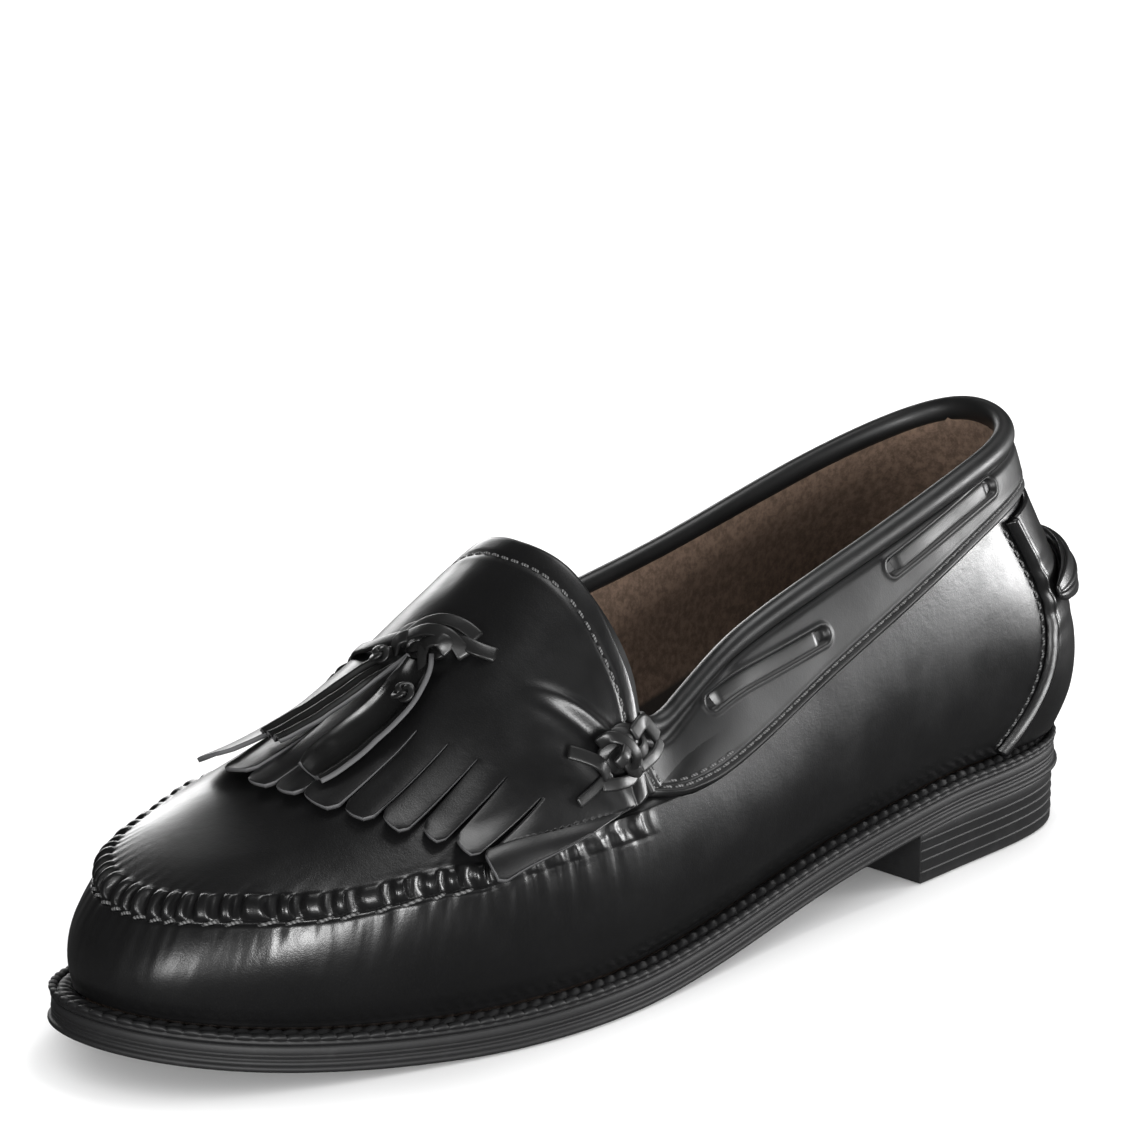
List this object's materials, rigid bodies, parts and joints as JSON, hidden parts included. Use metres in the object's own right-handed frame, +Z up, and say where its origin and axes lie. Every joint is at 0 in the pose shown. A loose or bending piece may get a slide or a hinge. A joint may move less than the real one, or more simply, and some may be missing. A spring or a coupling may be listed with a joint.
{
  "type": "kiltie loafer",
  "caption": "Low black leather loafer for the left foot with a fringed kiltie, a laced collar band, tasselled lace knot, moccasin toe seam, heel strip and a flat heeled rubber sole.",
  "frame": {"origin": "centre of the footprint, on the ground that the heel and the ball of the sole rest on", "axes": "+Y along the foot from toe to heel, +X towards the wearer's outer side, +Z up"},
  "size_m": [0.0864, 0.2701, 0.0928],
  "materials": {
    "polished_leather": "polished",
    "sole_rubber": "matte",
    "rawhide_lace": "satin",
    "sock_leather": "matte"
  },
  "bodies": {
    "root": {"upper": "polished_leather", "collar_band": "polished_leather", "heel_strip": "polished_leather", "heel_kicker": "polished_leather", "kiltie": "polished_leather", "tassel_inner": "polished_leather", "tassel_outer": "polished_leather", "outsole": "sole_rubber", "heel": "sole_rubber", "welt": "sole_rubber", "lace_outer_front": "rawhide_lace", "lace_outer_rear": "rawhide_lace", "lace_inner_front": "rawhide_lace", "lace_inner_rear": "rawhide_lace", "knot_outer": "rawhide_lace", "knot_inner": "rawhide_lace", "bow_knot": "rawhide_lace", "lace_to_outer_slit": "rawhide_lace", "lace_to_inner_slit": "rawhide_lace", "insole": "sock_leather"}
  },
  "joints": []
}
